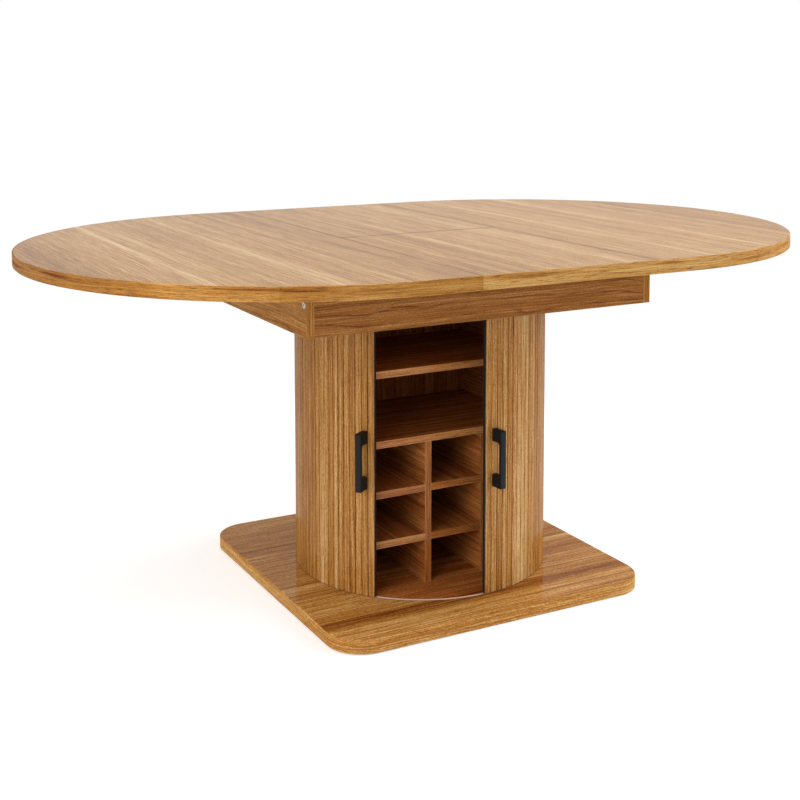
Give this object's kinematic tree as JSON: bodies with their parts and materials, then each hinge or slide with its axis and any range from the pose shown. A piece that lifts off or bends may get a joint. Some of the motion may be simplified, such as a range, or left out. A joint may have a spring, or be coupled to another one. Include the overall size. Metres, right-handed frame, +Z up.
{
  "type": "extending dining table with storage cabinet",
  "caption": "Extending dining table with round ends on a round cabinet pedestal: tambour doors slide round shelves and bottle cells, on a square base plate.",
  "frame": {"origin": "on the floor under the middle of the base plate", "axes": "+X along the table's length, -Y is the front with the door handles, +Z up"},
  "size_m": [1.7518, 1.168, 0.76],
  "materials": {
    "oak_top": "clear gloss lacquer over oak veneer, grain across the table",
    "oak_rim": "satin oak edge band, grain along the edge",
    "oak_apron": "satin oak veneer, grain along the panel",
    "oak_base": "clear gloss lacquer over oak veneer",
    "oak_slats": "satin oak slats, upright grain",
    "oak_interior": "satin oak veneer, darker tone",
    "oak_shell": "satin oak veneer on bent plywood, upright grain",
    "beech": "plain unfinished hardwood",
    "backing_film": "matte flexible film behind the slats",
    "track_plastic": "cream plastic track",
    "black_rubber": "black strip",
    "black_metal": "matte black coating",
    "zinc_steel": "zinc plated",
    "channel_steel": "folded steel channel",
    "glide_nylon": "dark nylon glide"
  },
  "bodies": {
    "frame": {"base_plate": "oak_base", "base_glides": "glide_nylon", "carcass_screws": "zinc_steel", "bottom_track": "track_plastic", "top_track": "track_plastic", "carcass_left_side": "oak_interior", "carcass_right_side": "oak_interior", "carcass_back": "oak_interior", "main_shelf": "oak_interior", "upper_shelf": "oak_interior", "shelf_dowels": "beech", "shelf_pins": "zinc_steel", "wine_divider_1": "oak_interior", "wine_divider_2": "oak_interior", "wine_shelf_1_1": "oak_interior", "wine_shelf_1_2": "oak_interior", "wine_shelf_2_1": "oak_interior", "wine_shelf_2_2": "oak_interior", "wine_shelf_3_1": "oak_interior", "wine_shelf_3_2": "oak_interior", "rear_shell": "oak_shell", "shell_ribs": "beech", "front_rail": "oak_apron", "rear_rail": "oak_apron", "left_apron_end": "oak_apron", "right_apron_end": "oak_apron", "apron_bolts": "zinc_steel", "barrel_nuts": "zinc_steel", "corner_blocks": "beech", "cabinet_top": "oak_interior", "front_channel": "channel_steel", "rear_channel": "channel_steel", "channel_screws": "zinc_steel"},
    "left_half": {"left_top": "oak_top", "left_top_edge": "oak_rim", "left_runners": "beech", "left_runner_screws": "zinc_steel"},
    "right_half": {"right_top": "oak_top", "right_top_edge": "oak_rim", "right_runners": "beech", "right_runner_screws": "zinc_steel"},
    "front_leaf": {"front_leaf": "oak_top", "front_leaf_edge": "oak_rim", "front_leaf_cleat": "beech"},
    "rear_leaf": {"rear_leaf": "oak_top", "rear_leaf_edge": "oak_rim", "rear_leaf_cleat": "beech"},
    "left_door": {"left_door_slats": "oak_slats", "left_door_backing": "backing_film", "left_door_seal": "black_rubber", "left_door_handle": "black_metal", "left_handle_screws": "zinc_steel"},
    "right_door": {"right_door_slats": "oak_slats", "right_door_backing": "backing_film", "right_door_seal": "black_rubber", "right_door_handle": "black_metal", "right_handle_screws": "zinc_steel"}
  },
  "joints": [
    {"name": "left_door_slide", "type": "hinge", "parent": "frame", "child": "left_door", "pos_m": [0, 0, 0.32], "axis": [0, 0, 1], "range_deg": [-41, 48]},
    {"name": "right_door_slide", "type": "hinge", "parent": "frame", "child": "right_door", "pos_m": [0, 0, 0.32], "axis": [0, 0, 1], "range_deg": [0, 89]},
    {"name": "left_half_pull", "type": "slide", "parent": "frame", "child": "left_half", "axis": [-1, 0, 0], "range_m": [0, 0.03]},
    {"name": "right_half_pull", "type": "slide", "parent": "frame", "child": "right_half", "axis": [1, 0, 0], "range_m": [0, 0.03]},
    {"name": "front_leaf_lift", "type": "slide", "parent": "frame", "child": "front_leaf", "axis": [0, 0, 1], "range_m": [0, 0.25]},
    {"name": "rear_leaf_lift", "type": "slide", "parent": "frame", "child": "rear_leaf", "axis": [0, 0, 1], "range_m": [0, 0.25]}
  ]
}
